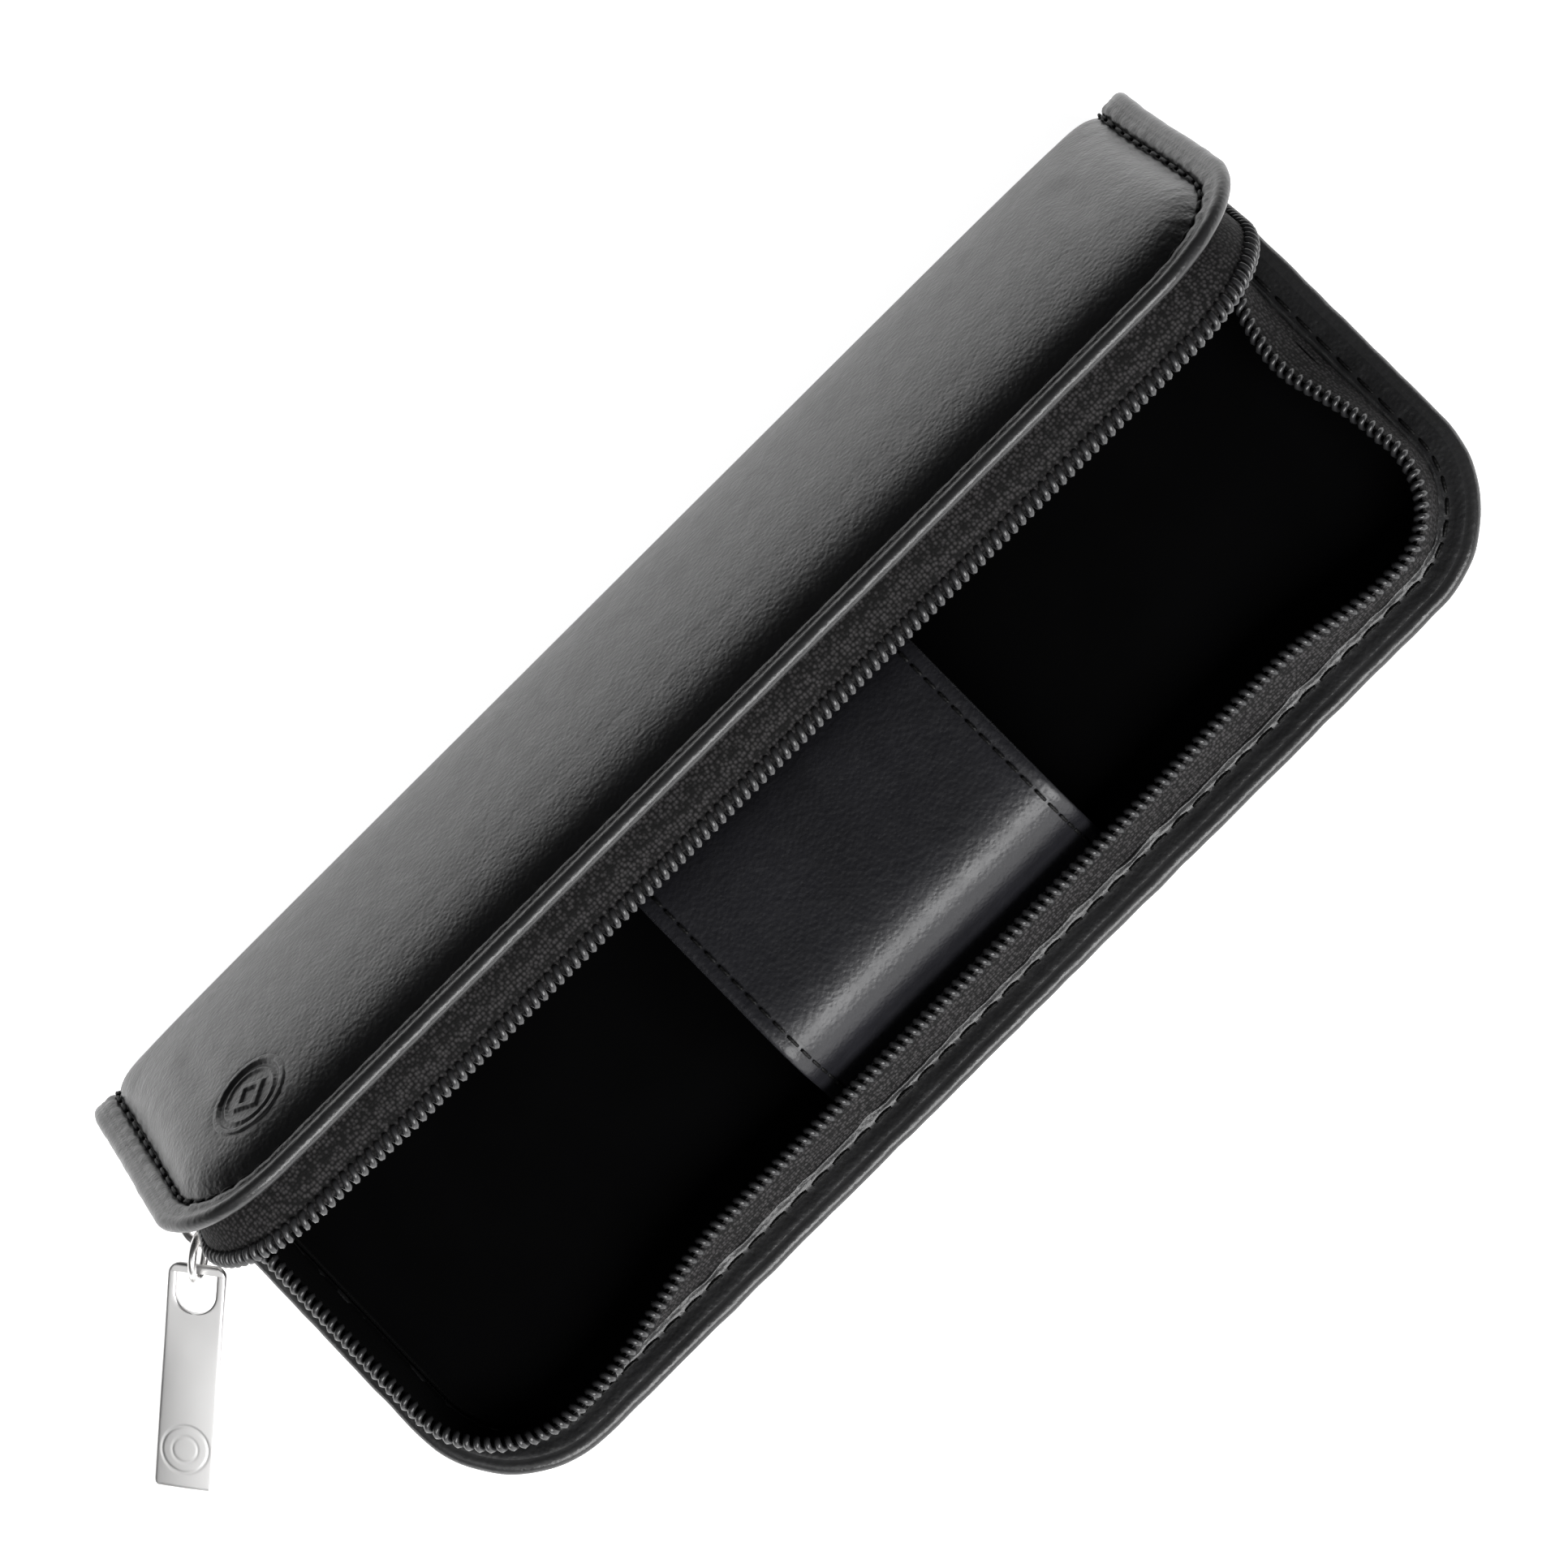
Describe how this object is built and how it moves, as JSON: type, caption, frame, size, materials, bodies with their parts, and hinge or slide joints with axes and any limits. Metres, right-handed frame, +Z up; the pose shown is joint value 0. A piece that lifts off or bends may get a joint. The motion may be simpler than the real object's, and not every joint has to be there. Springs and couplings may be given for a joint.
{
  "type": "pen case",
  "caption": "Long black leather zip case for fountain pens, its padded lid standing open, with stitched margins, upright zip walls, an arched pen band and a metal pull tab.",
  "frame": {"origin": "the centre of the closed case's flat underside, on the surface that the case lies on", "axes": "+X along the spine and the case's length, -Y to the zip side that opens, +Z up out of the base"},
  "size_m": [0.1903, 0.0644, 0.065],
  "materials": {
    "leather": "satin, fine grain",
    "lining": "matt velour",
    "zip_tape": "woven",
    "zip_coil": "semi-gloss nylon",
    "thread": "bonded thread",
    "board": "grey card",
    "foam": "open foam",
    "pull_metal": "satin nickel plate"
  },
  "bodies": {
    "base": {"base_cover": "leather", "base_edge_roll": "leather", "base_edge_thread": "thread", "base_board": "board", "base_lining": "lining", "base_spine_lining": "lining", "base_zip_tape": "zip_tape", "base_zip_coil": "zip_coil", "zip_bottom_stop": "pull_metal", "base_top_stop": "pull_metal", "pen_band": "leather", "band_thread_left": "thread", "band_thread_right": "thread"},
    "lid": {"lid_cover": "leather", "lid_edge_roll": "leather", "lid_edge_thread": "thread", "lid_foam": "foam", "lid_board": "board", "lid_lining": "lining", "lid_spine_lining": "lining", "lid_zip_tape": "zip_tape", "lid_zip_coil": "zip_coil", "lid_top_stop": "pull_metal"},
    "slider": {"slider_body": "pull_metal", "slider_bail": "pull_metal"},
    "pull_ring": {"pull_ring": "pull_metal"},
    "pull_tab": {"pull_tab": "pull_metal"}
  },
  "joints": [
    {"name": "lid_hinge", "type": "hinge", "parent": "base", "child": "lid", "pos_m": [0, 0.03, 0.0105], "axis": [-1, 0, 0], "range_deg": [-55, 65]},
    {"name": "slider_travel", "type": "slide", "parent": "base", "child": "slider", "axis": [0, -1, 0], "range_m": [0, 0.0275]},
    {"name": "link_turn", "type": "hinge", "parent": "slider", "child": "pull_ring", "pos_m": [-0.0826, 0.019, 0.0105], "axis": [0, 0, 1], "range_deg": [-77.5, 20.5]},
    {"name": "tab_swing", "type": "hinge", "parent": "pull_ring", "child": "pull_tab", "pos_m": [-0.08569, 0.01663, 0.0105], "axis": [-0.6088, 0.7934, 0], "range_deg": [0, 60]}
  ]
}
